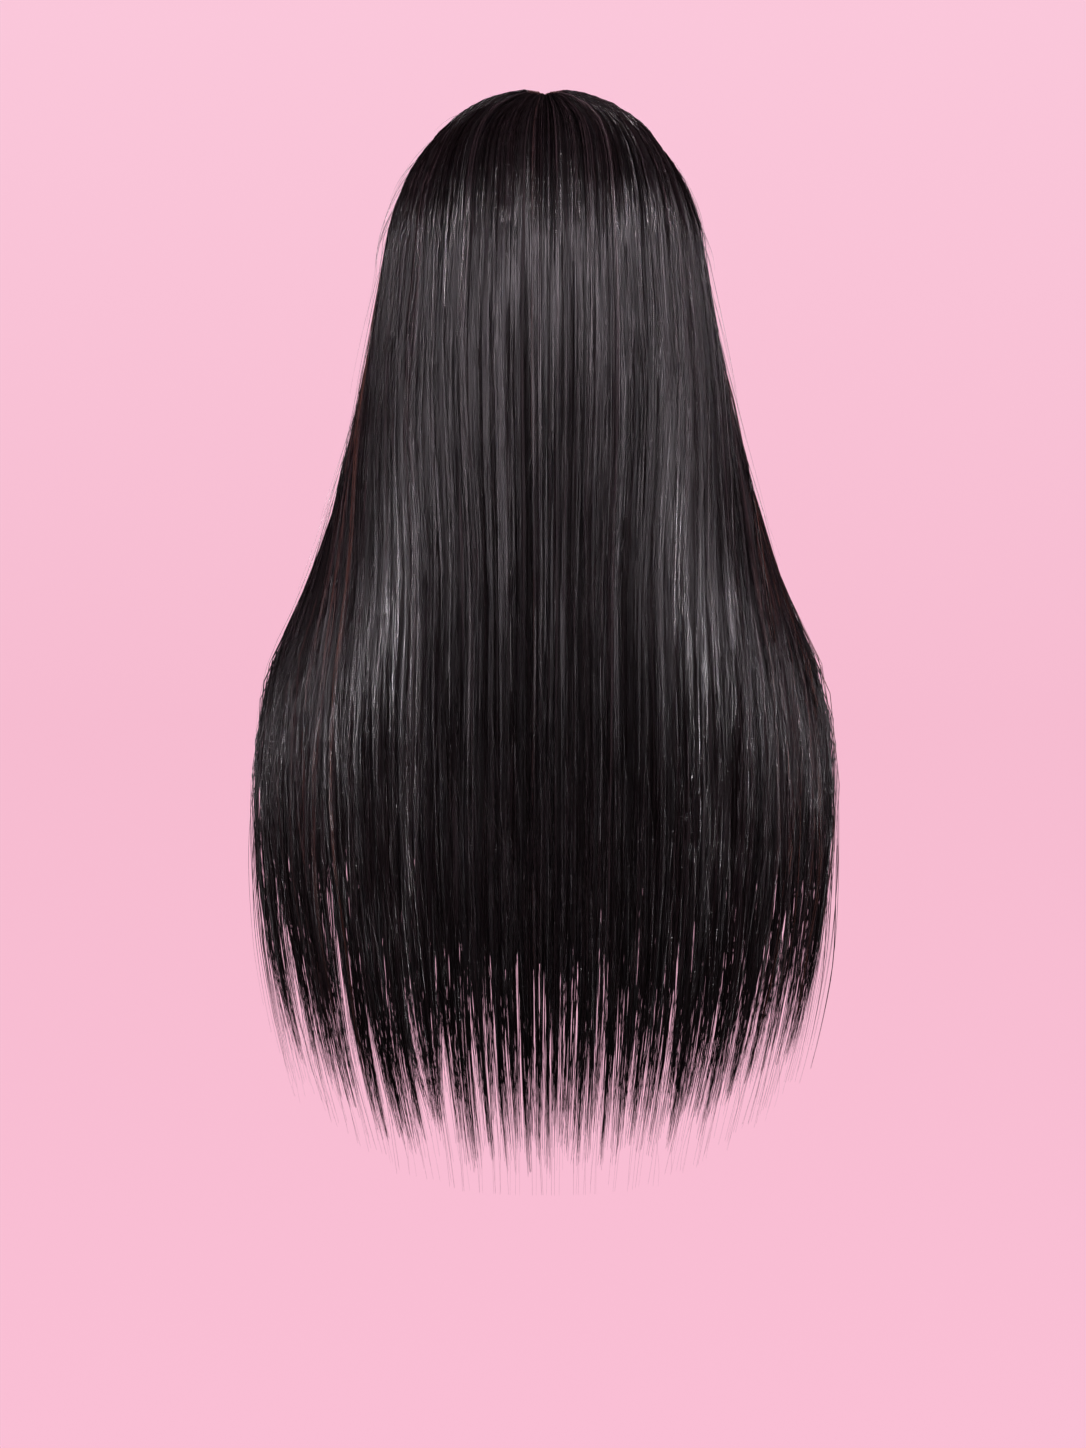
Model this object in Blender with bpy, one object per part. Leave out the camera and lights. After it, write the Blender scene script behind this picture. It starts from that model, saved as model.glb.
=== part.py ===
"""A lace front wig: long straight hair with a centre parting, in the form that it keeps on a head.

The face looks along -Y, the hair falls behind the shoulders along -Z, and the origin is the point inside
the cap that rests on the crown of the head. Left and right are the wearer's own, so left is +X.
All lengths are in metres and all angles in degrees.
"""

import math
from collections import namedtuple

import bmesh
import bpy
from mathutils import Vector

# The head that the cap fits
HEAD_WIDTH = 0.152
HEAD_DEPTH = 0.194
CROWN_HEIGHT = 0.1025  # from the widest level of the head up to the crown
NAPE_HEIGHT = 0.115  # how far the skull's curve runs below that level

# Cap and lace
CAP_WALL = 0.0012
LACE_WALL = 0.0010
SEAM_GAP = 0.0004  # between the lace and the cap
SEAM_ANGLE = 24.0  # behind the crown, where the lace meets the cap

# Parting, its ends as angles about the line through the ears, from the crown towards the back
PARTING_WIDTH = 0.003  # bare lace between the roots on the left and on the right
PARTING_FRONT = -57.0
PARTING_BACK = 15.0

# How far the hair stands out from the cap
HAIR_CLEARANCE = 0.0009
OVER_CROWN = 0.0065
OVER_EARS = 0.0205
OVER_OCCIPUT = 0.0180
OVER_BROW = 0.0060

# The fall of the hair below the widest level of the head
FALL_LENGTH = 0.538
SHOULDER_HALF_WIDTH = 0.1705
TIPS_REACH_BACK = 0.084
SHOULDER_SET_BACK = 0.066
FALL_THICKNESS = 0.020
LAYER_GAP = 0.0008  # between the outer hair and the hair under it
GROUP_GAP = 0.0006  # between one group of locks and the next
HEM_RISE = 0.165  # how much sooner the locks at the sides end, as a share of the fall
HEM_CURVE = 3  # the power with which the hem rises towards the sides
UNDER_TRIM = 0.030  # how much sooner the under hair ends, as a share of the fall

# The locks part from each other this far down the fall, at the middle of the back and at the sides
PARTED_MIDDLE = 0.745
PARTED_SIDES = 0.640

# Shares of the hair's spread: 0 is the middle of the back and 1 the edge beside the face
WHORL_SHARE = 0.34  # this much leaves from the round end of the parting
BACK_SHARE = 0.42
SIDE_SHARE = 0.78
UNDER_SHARE = 0.62
SHARE_LIMIT = 0.998  # the spread across the back stops just short of its two edges

# The way of a lock over the head, in shares of the head's size
LEAVING_RUN = 0.60  # how far it leaves the parting before it bends down
BEND_AT_BACK = 0.70  # how high above the widest level it bends down, at the middle of the back
BEND_AT_EDGE = 0.25  # the same at the edge beside the face

# Fullness of the hair over the head, as shares of its thickness and of a lock's way
ROOT_RISE = 0.50  # thickness at the parting
ROOT_RUN = 0.10  # the way from the parting in which the hair reaches its thickness
CREST = 0.50  # how much fuller it is beside the parting, and flatter above the ears
EDGE_RISE = 0.45  # thickness at the edge beside the face
EDGE_RUN = 0.14  # how far from that edge, as a share of the spread, it is full

# The layers: where the outer hair ends and the under hair starts
LAYER_DEPTH = 0.52  # as a share of the thickness
UNDER_STARTS = 0.36  # along the way of a lock over the head
UNDER_FULL = 0.70
UNDER_EDGE_STARTS = 0.03  # past UNDER_SHARE, as shares of the spread
UNDER_EDGE_RUN = 0.08

# Locks in each group
BACK_LOCKS = 12
SIDE_LOCKS = 6
FRONT_LOCKS = 4
UNDER_LOCKS = 7

# Relief of the locks, as shares of the hair's thickness
RIDGE = 0.06
GROOVE = 0.09
UNDER_GROOVE = 0.045

# Faces
PATCH_COLUMNS = 16
PATCH_ROWS = 12
SHARP_ANGLE = 40.0

# Colours, linear
HAIR_COLOUR = (0.012, 0.009, 0.0095, 1.0)
UNDER_HAIR_COLOUR = (0.008, 0.006, 0.0065, 1.0)
CAP_COLOUR = (0.016, 0.013, 0.013, 1.0)
LACE_COLOUR = (0.42, 0.27, 0.18, 1.0)

# One section of the fall. drop is a share of FALL_LENGTH. width is a share of the way from the hair's
# half width at the head to SHOULDER_HALF_WIDTH, and back of the way from its reach at the occiput to
# TIPS_REACH_BACK. side is a share of SHOULDER_SET_BACK, the set-back of the section's two sides. brow is
# a share of the hair's reach at the brow. wrap is the half angle that the hair covers, seen from above,
# flat how evenly its locks spread across the back, and thick a share of FALL_THICKNESS.
Section = namedtuple("Section", "drop width back side brow wrap flat thick")
SECTIONS = (
    Section(0.000, 0.00, 0.00, 0.00, 1.00, 122, 0.00, 0.95),
    Section(0.107, 0.15, -0.03, 0.03, 0.90, 118, 0.10, 0.88),
    Section(0.200, 0.28, 0.03, 0.14, 0.80, 111, 0.25, 0.80),
    Section(0.290, 0.45, 0.12, 0.33, 0.68, 102, 0.45, 0.70),
    Section(0.365, 0.65, 0.19, 0.56, 0.58, 95, 0.62, 0.62),
    Section(0.440, 0.88, 0.26, 0.80, 0.50, 90, 0.75, 0.57),
    Section(0.530, 0.995, 0.35, 0.97, 0.45, 90, 0.82, 0.52),
    Section(0.620, 0.995, 0.46, 1.00, 0.40, 90, 0.85, 0.48),
    Section(0.716, 0.925, 0.59, 0.95, 0.35, 90, 0.85, 0.42),
    Section(0.800, 0.80, 0.70, 0.90, 0.30, 90, 0.85, 0.36),
    Section(0.882, 0.67, 0.83, 0.86, 0.30, 90, 0.85, 0.28),
    Section(1.000, 0.44, 1.00, 0.82, 0.30, 90, 0.85, 0.20),
)

# Rows of corners down a lock: on the head as shares of the way from the parting to the widest level,
# and below it as shares of the way to where the lock parts from its neighbours
ON_HEAD = (0.0, 0.05, 0.12, 0.21, 0.31, 0.42, 0.53, 0.64, 0.76, 0.88)
DOWN_FALL = (0.0, 0.075, 0.155, 0.28, 0.40, 0.51, 0.62, 0.74, 0.87, 1.0)
UNDER_FIRST_ROW = 6  # where the under hair starts

# How a lock narrows and thins, along the way from where it parts to its tip
Taper = namedtuple("Taper", "along width thick")
TAPERS = (
    Taper(0.20, 0.88, 0.95),
    Taper(0.38, 0.77, 0.88),
    Taper(0.57, 0.60, 0.78),
    Taper(0.78, 0.36, 0.62),
    Taper(1.00, 0.09, 0.45),
)

# What repeats from lock to lock: its width, the share of its full length that it keeps, how much lower
# it parts from the next one as a share of the fall, and how far its tip leans as a share of its width
Habit = namedtuple("Habit", "width length parts lean")
HABITS = (
    Habit(1.10, 1.000, 0.012, 0.12),
    Habit(0.85, 0.955, -0.020, -0.15),
    Habit(1.15, 0.985, 0.020, 0.05),
    Habit(0.90, 0.965, -0.010, 0.18),
    Habit(1.00, 0.995, 0.004, -0.10),
)

# The lace's front edge and the cap's nape edge. across is an angle from the middle of the head towards
# the ear; hairline and nape are angles about the line through the ears, from the crown
Rim = namedtuple("Rim", "across hairline nape")
RIMS = (
    Rim(0, -62, 122),
    Rim(20, -63, 121),
    Rim(38, -69, 119),
    Rim(53, -79, 113),
    Rim(65, -91, 105),
    Rim(74, -98, 96),
)


def lerp(a, b, share):
    return a + (b - a) * share


def eased(x):
    """0 below 0, 1 above 1, and a smooth curve between."""
    x = min(max(x, 0.0), 1.0)
    return x * x * (3 - 2 * x)


def read_table(rows, key, at):
    """The table's row at that value of its key column, smoothly interpolated."""
    places = [getattr(row, key) for row in rows]
    at = min(max(at, places[0]), places[-1])
    i = max(k for k in range(len(rows) - 1) if places[k] <= at)
    span = places[i + 1] - places[i]
    t = (at - places[i]) / span

    def slope(column, k):
        low = max(k - 1, 0)
        high = min(k + 1, len(rows) - 1)
        return (rows[high][column] - rows[low][column]) / (places[high] - places[low])

    def value(column):
        start, end = rows[i][column], rows[i + 1][column]
        leaving, arriving = slope(column, i) * span, slope(column, i + 1) * span
        straight = lerp(start, end, t * t * (3 - 2 * t))
        return straight + leaving * t * (1 - t) ** 2 - arriving * t * t * (1 - t)

    return type(rows[0])(*(value(column) for column in range(len(rows[0]))))


# The head, and the cap and lace on it


def head_axes(offset):
    """Half width, half depth, height to the crown and depth to the nape, offset from the head."""
    return (
        HEAD_WIDTH / 2 + offset,
        HEAD_DEPTH / 2 + offset,
        CROWN_HEIGHT + offset,
        NAPE_HEIGHT + offset,
    )


def head_point(across, around):
    """A point of the head: across towards the ear, around from the crown towards the back."""
    width, depth, above, below = head_axes(0)
    a, b = math.radians(across), math.radians(around)
    upward = math.cos(a) * math.cos(b)
    height = above if upward > 0 else below
    return Vector((
        width * math.sin(a),
        depth * math.cos(a) * math.sin(b),
        height * upward - CROWN_HEIGHT,
    ))


def seam_step(across):
    """Half the gap at the seam, as an angle: the lines towards the ear draw together as they near it."""
    return math.degrees(SEAM_GAP / 2 / CROWN_HEIGHT) / math.cos(math.radians(across))


def lace_edges(across):
    return read_table(RIMS, "across", across).hairline, SEAM_ANGLE - seam_step(across)


def cap_edges(across):
    return SEAM_ANGLE + seam_step(across), read_table(RIMS, "across", across).nape


def cap_patch(name, edges, wall, material):
    """A patch of the head between two edges, thickened outwards to its wall."""
    reach = RIMS[-1].across
    points, faces = [], []
    for i in range(PATCH_COLUMNS + 1):
        across = lerp(-reach, reach, i / PATCH_COLUMNS)
        start, end = edges(abs(across))
        points += [head_point(across, lerp(start, end, j / PATCH_ROWS)) for j in range(PATCH_ROWS + 1)]
    for i in range(PATCH_COLUMNS):
        for j in range(PATCH_ROWS):
            corner = i * (PATCH_ROWS + 1) + j
            faces.append((corner, corner + PATCH_ROWS + 1, corner + PATCH_ROWS + 2, corner + 1))
    mesh = bpy.data.meshes.new(name)
    mesh.from_pydata(points, [], faces)
    patch = add_object(name, mesh, material)
    thicken = patch.modifiers.new("wall", "SOLIDIFY")
    thicken.thickness = wall
    thicken.offset = 1.0
    thicken.use_even_offset = True
    return patch


# The form of the hair

Ring = namedtuple("Ring", "drop width back brow inner_width inner_back inner_brow side wrap flat")


def hair_axes():
    """Half width, reach back, reach to the brow and height of the hair on the head."""
    width, depth, above, _ = head_axes(CAP_WALL)
    return width + OVER_EARS, depth + OVER_OCCIPUT, depth + OVER_BROW, above + OVER_CROWN


def inner_axes():
    """The same for the inside of the hair, just clear of the cap."""
    width, depth, above, _ = head_axes(CAP_WALL + HAIR_CLEARANCE)
    return width, depth, depth, above


def fall_rings():
    """The horizontal sections of the fall, worked out from the named sizes."""
    width, back, brow, _ = hair_axes()
    rings = []
    for section in SECTIONS:
        side = SHOULDER_SET_BACK * section.side
        half = lerp(width, SHOULDER_HALF_WIDTH, section.width)
        reach = lerp(back, TIPS_REACH_BACK, section.back) - side
        front = brow * section.brow
        thick = FALL_THICKNESS * section.thick
        inner = (half - thick, reach - thick, front - thick)
        if section is SECTIONS[0]:
            inner = inner_axes()[:3]
        rings.append(Ring(section.drop, half, reach, front, *inner, side, section.wrap, section.flat))
    return rings


RINGS = fall_rings()


def root_of(share):
    """The direction from the head's centre to a lock's root, and the way in which the lock sets off."""
    side = math.copysign(1.0, share)
    turn = math.radians(90) * min(abs(share) / WHORL_SHARE, 1.0)
    forward = max(abs(share) - WHORL_SHARE, 0.0) / (1 - WHORL_SHARE)
    around = math.radians(lerp(PARTING_BACK, PARTING_FRONT, forward))
    root = Vector((0.0, math.sin(around), math.cos(around)))
    backward = Vector((0.0, math.cos(around), -math.sin(around)))
    leaving = backward * math.cos(turn) + Vector((side * math.sin(turn), 0.0, 0.0))
    root += leaving * (PARTING_WIDTH / 2 / CROWN_HEIGHT)
    return root.normalized(), leaving


def angle_at(share, ring):
    """Where a share lies round a section, in radians from the middle of the back."""
    even = math.radians(share * ring.wrap)
    inside = max(min(share, SHARE_LIMIT), -SHARE_LIMIT)
    across = math.asin(inside) * ring.wrap / 90
    return lerp(even, across, ring.flat)


def head_way(share, along):
    """The direction from the head's centre to a lock, from its root at 0 to the widest level at 1."""
    root, leaving = root_of(share)
    over = root + leaving * LEAVING_RUN
    angle = angle_at(share, RINGS[0])
    level = Vector((math.sin(angle), math.cos(angle), 0.0))
    above = level + Vector((0.0, 0.0, lerp(BEND_AT_BACK, BEND_AT_EDGE, abs(share))))
    back = 1 - along
    way = root * back**3 + over * 3 * along * back**2 + above * 3 * along**2 * back + level * along**3
    return way.normalized()


def on_head(share, along, depth):
    """A point in the hair over the head. depth is 0 at its outside and 1 at its inside."""
    way = head_way(share, along)
    width, back, brow, above = hair_axes()
    inner_width, inner_back, inner_brow, inner_above = inner_axes()
    full = lerp(ROOT_RISE, 1.0, eased(along / ROOT_RUN))
    full += CREST * math.sin(2 * math.pi * along) * (1 - along)
    edged = lerp(EDGE_RISE, 1.0, eased((1 - abs(share)) / EDGE_RUN))
    full *= lerp(edged, 1.0, eased(2 * along - 1))
    depth = 1 - (1 - depth) * full
    reach = lerp(back, inner_back, depth) if way.y > 0 else lerp(brow, inner_brow, depth)
    return Vector((
        way.x * lerp(width, inner_width, depth),
        way.y * reach,
        way.z * lerp(above, inner_above, depth) - CROWN_HEIGHT,
    ))


def in_fall(share, drop, depth):
    """A point in the hair below the widest level, the given share of the fall down."""
    ring = read_table(RINGS, "drop", drop)
    angle = angle_at(share, ring)
    width = lerp(ring.width, ring.inner_width, depth)
    reach = lerp(ring.back, ring.inner_back, depth)
    if math.cos(angle) < 0:
        reach = lerp(ring.brow, ring.inner_brow, depth)
    return Vector((
        width * math.sin(angle),
        ring.side + reach * math.cos(angle),
        -CROWN_HEIGHT - FALL_LENGTH * drop,
    ))


def hair_point(share, station, depth):
    """A point in the hair. Stations 0 to 1 lie on the head, and 1 to 2 down the fall."""
    if station < 1:
        return on_head(share, station, depth)
    return in_fall(share, station - 1, depth)


# The two layers of hair, as depths


def layer_depth(share, station):
    """The depth at which the outer hair meets the hair under it, or 1 where there is none under it."""
    over_cap = 1 - eased((station - UNDER_STARTS) / (UNDER_FULL - UNDER_STARTS))
    past_under = eased((abs(share) - UNDER_SHARE - UNDER_EDGE_STARTS) / UNDER_EDGE_RUN)
    return lerp(LAYER_DEPTH, 1.0, max(over_cap, past_under))


def layer_step(station):
    """Half the gap between the layers, as a depth."""
    thick = SECTIONS[0].thick
    if station > 1:
        thick = read_table(SECTIONS, "drop", station - 1).thick
    return LAYER_GAP / 2 / (thick * FALL_THICKNESS)


def outer_layer(share, station):
    """Depths of the outer hair at a lock's middle, at its edges and inside."""
    inside = layer_depth(share, station)
    if inside < 1:
        inside -= layer_step(station)
    return -RIDGE, GROOVE, inside


def under_layer(share, station):
    """The same for the under hair, which keeps clear of the outer hair all along."""
    outside = layer_depth(share, station) + layer_step(station)
    return outside, outside + UNDER_GROOVE, 1.0


# Locks and groups of locks

Edge = namedtuple("Edge", "share parted inset")
Lock = namedtuple("Lock", "left middle right length lean")


def lock_edges(first, last, count, turn):
    """The edges at which a group's locks meet, with a narrow gap left at both ends of the group."""
    habits = [HABITS[(turn + i) % len(HABITS)] for i in range(count)]
    whole = sum(habit.width for habit in habits)
    edges = []
    for i in range(count + 1):
        share = lerp(first, last, sum(habit.width for habit in habits[:i]) / whole)
        parted = lerp(PARTED_MIDDLE, PARTED_SIDES, abs(share))
        inward = ((i == 0) - (i == count)) * math.copysign(1.0, last - first)
        if not inward:
            parted += habits[i].parts
        edges.append(Edge(share, parted, inward * GROUP_GAP / 2))
    return edges


def group_locks(first, last, count, trim, turn):
    """The locks of a group: shorter towards the sides, and varied by their habits."""
    edges = lock_edges(first, last, count, turn)
    locks = []
    for i in range(count):
        left, right = edges[i], edges[i + 1]
        habit = HABITS[(turn + i) % len(HABITS)]
        share = (left.share + right.share) / 2
        middle = Edge(share, (left.parted + right.parted) / 2, 0.0)
        hem = (1 - HEM_RISE * abs(share) ** HEM_CURVE) * (1 - trim)
        length = hem * lerp(habit.length, 1.0, abs(share) ** HEM_CURVE)
        locks.append(Lock(left, middle, right, length, habit.lean * (right.share - left.share)))
    return locks


def lock_corner(lock, side, row, layer, outside):
    """A corner of a lock: side is -1 at its left edge, 0 in its middle and 1 at its right edge."""
    edge = (lock.middle, lock.right, lock.left)[side]
    taper = Taper(0.0, 1.0, 1.0)
    if row < len(ON_HEAD):
        station = ON_HEAD[row]
    elif row < len(ON_HEAD) + len(DOWN_FALL):
        station = 1 + edge.parted * DOWN_FALL[row - len(ON_HEAD)]
    else:
        taper = TAPERS[row - len(ON_HEAD) - len(DOWN_FALL)]
        station = 1 + lerp(edge.parted, lock.length, taper.along)
    share = lerp(lock.middle.share, edge.share, taper.width) + lock.lean * taper.along**2
    ridge, groove, inside = layer(share, station)
    depths = (groove if side else ridge, inside)
    depth = lerp(sum(depths) / 2, depths[0] if outside else depths[1], taper.thick)
    point = hair_point(share, station, depth)
    if edge.inset:
        inward = math.copysign(lock.right.share - lock.left.share, edge.inset)
        beside = hair_point(share + inward / 2, station, depth)
        point += (beside - point).normalized() * abs(edge.inset)
    return point


def hair_group(name, first, last, count, layer, material, first_row=0, trim=0.0, turn=0):
    """A group of locks as one body: they share their edges until they part, then taper to their tips."""
    parted_row = len(ON_HEAD) + len(DOWN_FALL) - 1
    last_row = parted_row + len(TAPERS)
    mesh = bmesh.new()
    corners = {}

    def corner(number, lock, side, row, outside):
        key = (number + (side > 0), row, outside)
        if side == 0 or row > parted_row:
            key = (number, side, row, outside)
        if key not in corners:
            corners[key] = mesh.verts.new(lock_corner(lock, side, row, layer, outside))
        return corners[key]

    for number, lock in enumerate(group_locks(first, last, count, trim, turn)):
        for row in range(first_row, last_row):
            for side in (-1, 0):
                for outside in (True, False):
                    ends = ((side, row), (side + 1, row), (side + 1, row + 1), (side, row + 1))
                    mesh.faces.new([corner(number, lock, *end, outside) for end in ends])
            for side, at_end in ((-1, number == 0), (1, number == count - 1)):
                if at_end or row >= parted_row:
                    wall = ((row, True), (row + 1, True), (row + 1, False), (row, False))
                    mesh.faces.new([corner(number, lock, side, *end) for end in wall])
        for row in (first_row, last_row):
            for side in (-1, 0):
                cap = ((side, row, True), (side + 1, row, True), (side + 1, row, False), (side, row, False))
                mesh.faces.new([corner(number, lock, *end) for end in cap])
    bmesh.ops.recalc_face_normals(mesh, faces=mesh.faces)
    data = bpy.data.meshes.new(name)
    mesh.to_mesh(data)
    mesh.free()
    return add_object(name, data, material)


# Objects and materials


def add_object(name, mesh, material):
    mesh.materials.append(material)
    mesh.shade_smooth()
    mesh.set_sharp_from_angle(angle=math.radians(SHARP_ANGLE))
    piece = bpy.data.objects.new(name, mesh)
    bpy.context.collection.objects.link(piece)
    return piece


def add_material(name, colour, roughness):
    material = bpy.data.materials.new(name)
    material.use_nodes = True
    shader = material.node_tree.nodes["Principled BSDF"]
    shader.inputs["Base Color"].default_value = colour
    shader.inputs["Roughness"].default_value = roughness
    shader.inputs["Metallic"].default_value = 0.0
    return material


def build_cap():
    lace = add_material("swiss_lace", LACE_COLOUR, 0.8)
    weft_cap = add_material("cap_cloth", CAP_COLOUR, 0.85)
    cap_patch("lace_front", lace_edges, LACE_WALL, lace)
    cap_patch("wig_cap", cap_edges, CAP_WALL, weft_cap)


def build_hair():
    hair = add_material("black_hair", HAIR_COLOUR, 0.38)
    under_hair = add_material("black_under_hair", UNDER_HAIR_COLOUR, 0.45)
    hair_group("back_hair", -BACK_SHARE, BACK_SHARE, BACK_LOCKS, outer_layer, hair)
    for side, sign, turn in (("right", -1, 1), ("left", 1, 3)):
        back, front = sign * BACK_SHARE, sign * SIDE_SHARE
        hair_group("side_hair_" + side, back, front, SIDE_LOCKS, outer_layer, hair, turn=turn)
        hair_group("front_hair_" + side, front, sign, FRONT_LOCKS, outer_layer, hair, turn=turn + 1)
        hair_group(
            "under_hair_" + side, 0.0, sign * UNDER_SHARE, UNDER_LOCKS, under_layer, under_hair,
            first_row=UNDER_FIRST_ROW, trim=UNDER_TRIM, turn=turn + 2,
        )


for leftover in list(bpy.data.objects):
    bpy.data.objects.remove(leftover, do_unlink=True)

build_cap()
build_hair()
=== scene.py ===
"""The looks of a lace front wig: long straight black hair, seen from behind in a pale pink room.

The hair is made of thin closed strands that follow the same form as the solids: they leave the parting,
lie over the cap, fall down the back and draw together into pointed locks. Under them lie darker cores,
one body to a group of locks. All lengths are in metres.
"""

import math
from collections import namedtuple

import bpy
import numpy as np
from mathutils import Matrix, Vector


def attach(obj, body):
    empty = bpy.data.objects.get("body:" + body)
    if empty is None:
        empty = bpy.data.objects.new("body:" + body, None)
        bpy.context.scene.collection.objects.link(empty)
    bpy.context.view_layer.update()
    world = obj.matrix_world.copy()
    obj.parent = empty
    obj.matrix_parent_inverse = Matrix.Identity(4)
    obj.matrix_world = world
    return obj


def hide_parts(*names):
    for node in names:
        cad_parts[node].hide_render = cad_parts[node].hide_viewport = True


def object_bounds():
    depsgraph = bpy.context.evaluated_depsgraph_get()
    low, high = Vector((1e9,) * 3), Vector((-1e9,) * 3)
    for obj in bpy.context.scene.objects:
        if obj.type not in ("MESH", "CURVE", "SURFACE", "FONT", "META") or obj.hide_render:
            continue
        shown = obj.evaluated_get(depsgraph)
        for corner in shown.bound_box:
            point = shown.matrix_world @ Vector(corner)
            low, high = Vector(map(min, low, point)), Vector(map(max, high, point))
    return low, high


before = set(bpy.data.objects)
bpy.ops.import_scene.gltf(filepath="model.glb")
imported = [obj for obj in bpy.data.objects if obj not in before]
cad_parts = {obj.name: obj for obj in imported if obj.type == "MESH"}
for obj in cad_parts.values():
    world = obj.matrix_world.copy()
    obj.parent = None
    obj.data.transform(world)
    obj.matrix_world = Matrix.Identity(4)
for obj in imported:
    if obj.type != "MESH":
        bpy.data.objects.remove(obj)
solid_low, solid_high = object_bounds()

# The hollow inside the cap, and the cap
CAP_WALL = 0.0012
HEAD_WIDTH = 0.152
HEAD_DEPTH = 0.194
CROWN_HEIGHT = 0.1025
PARTING_WIDTH = 0.003
PARTING_FRONT = -57.0
PARTING_BACK = 15.0

# How far the hair stands out from the cap
HAIR_CLEARANCE = 0.0009
OVER_CROWN = 0.0065
OVER_EARS = 0.0205
OVER_OCCIPUT = 0.0180
OVER_BROW = 0.0060

# The fall below the cap's widest level
FALL_LENGTH = -CROWN_HEIGHT - solid_low.z
SHOULDER_HALF_WIDTH = 0.1705
TIPS_REACH_BACK = 0.084
SHOULDER_SET_BACK = 0.066
FALL_THICKNESS = 0.020
HEM_RISE = 0.135
HEM_CURVE = 3
PARTED_MIDDLE = 0.745
PARTED_SIDES = 0.640

# Shares of the hair's spread: 0 is the middle of the back and 1 the edge beside the face
WHORL_SHARE = 0.34
BACK_SHARE = 0.42
SIDE_SHARE = 0.78
UNDER_SHARE = 0.62
SHARE_LIMIT = 0.998

# The way of the hair over the cap, and its fullness there
LEAVING_RUN = 0.60
BEND_AT_BACK = 0.70
BEND_AT_EDGE = 0.25
ROOT_RISE = 0.72
ROOT_RUN = 0.07
CREST = 0.26
EDGE_RISE = 0.45
EDGE_RUN = 0.14

# One section of the fall, as shares of the sizes above
Section = namedtuple("Section", "drop width back side brow wrap flat thick")
SECTIONS = (
    Section(0.000, 0.00, 0.00, 0.00, 1.00, 122, 0.00, 0.95),
    Section(0.107, 0.15, -0.03, 0.07, 0.90, 118, 0.10, 0.88),
    Section(0.200, 0.28, 0.03, 0.21, 0.80, 111, 0.25, 0.80),
    Section(0.290, 0.45, 0.12, 0.39, 0.68, 102, 0.45, 0.70),
    Section(0.365, 0.65, 0.19, 0.56, 0.58, 95, 0.62, 0.62),
    Section(0.440, 0.91, 0.26, 0.76, 0.50, 90, 0.75, 0.57),
    Section(0.530, 1.00, 0.35, 0.97, 0.45, 90, 0.82, 0.52),
    Section(0.620, 1.01, 0.46, 1.00, 0.40, 90, 0.85, 0.48),
    Section(0.716, 0.95, 0.59, 0.93, 0.35, 90, 0.85, 0.42),
    Section(0.800, 0.86, 0.70, 0.86, 0.30, 90, 0.85, 0.36),
    Section(0.882, 0.72, 0.83, 0.80, 0.30, 90, 0.85, 0.28),
    Section(1.000, 0.44, 1.00, 0.75, 0.30, 90, 0.85, 0.20),
)

# Strands, and how they swell at the root and taper to the tip, in stations
STRAND_RADIUS = 0.00027
STRAND_SIDES = 3
STRAND_SIZES = (0.70, 1.25)
ROOT_THIN = 0.55
ROOT_SWELL_RUN = 0.08
TIP_THIN = 0.22
TIP_TAPER_RUN = 0.18

# Relief: how far locks and ribbons of hair stand in and out, and how often in a station
LOCK_WAVE = 0.0013
LOCK_WAVES = 2.3
RIBBON_WAVE = 0.0007
RIBBON_WAVES = (4.3, 6.1)

# Waves across the hair, as shares of its spread, and how often in a station
LOCK_SWAY = 0.0035
LOCK_SWAYS = 1.1
RIBBON_SWAY = 0.0022
RIBBON_SWAYS = 2.1
STRAND_SWAY = 0.0008
STRAY_SWAY = 0.0045
STRAND_SWAYS = 3.1
SWAY_PHASES = (0.0, 6.28)

# Tones up to this one are black to soft black, and higher ones red brown
BLACK_TONES = 0.6

# How far the shine of a ribbon or a strand is tilted along it, as a slope
RIBBON_TILT = 0.046
STRAND_TILT = 0.044
HAIRLINE_TILT = 0.05
LOOSE_TILT = 0.20


def lerp(a, b, share):
    return a + (b - a) * share


def eased(x):
    x = np.clip(x, 0.0, 1.0)
    return x * x * (3 - 2 * x)


def unit(vectors):
    return vectors / np.linalg.norm(vectors, axis=-1, keepdims=True)


def along_axes(x, y, z):
    return np.stack(np.broadcast_arrays(x, y, z), axis=-1)


def column(values):
    return np.asarray(values)[:, None]


# The form of the hair

Ring = namedtuple("Ring", "width back brow inner_width inner_back inner_brow side wrap flat thick")


def hair_axes():
    """Half width, reach back, reach to the brow and height of the hair over the cap."""
    return (
        HEAD_WIDTH / 2 + CAP_WALL + OVER_EARS,
        HEAD_DEPTH / 2 + CAP_WALL + OVER_OCCIPUT,
        HEAD_DEPTH / 2 + CAP_WALL + OVER_BROW,
        CROWN_HEIGHT + CAP_WALL + OVER_CROWN,
    )


def inner_axes():
    """The same for the inside of the hair, just clear of the cap."""
    clear = CAP_WALL + HAIR_CLEARANCE
    return HEAD_WIDTH / 2 + clear, HEAD_DEPTH / 2 + clear, HEAD_DEPTH / 2 + clear, CROWN_HEIGHT + clear


def fall_rings():
    """The horizontal sections of the fall, one row to a section, with the columns of Ring."""
    width, back, brow, _ = hair_axes()
    rows = []
    for section in SECTIONS:
        side = SHOULDER_SET_BACK * section.side
        half = lerp(width, SHOULDER_HALF_WIDTH, section.width)
        reach = lerp(back, TIPS_REACH_BACK, section.back) - side
        front = brow * section.brow
        thick = FALL_THICKNESS * section.thick
        inner = (half - thick, reach - thick, front - thick)
        if section is SECTIONS[0]:
            inner = inner_axes()[:3]
        rows.append((half, reach, front, *inner, side, section.wrap, section.flat, thick))
    return np.array(rows)


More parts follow.
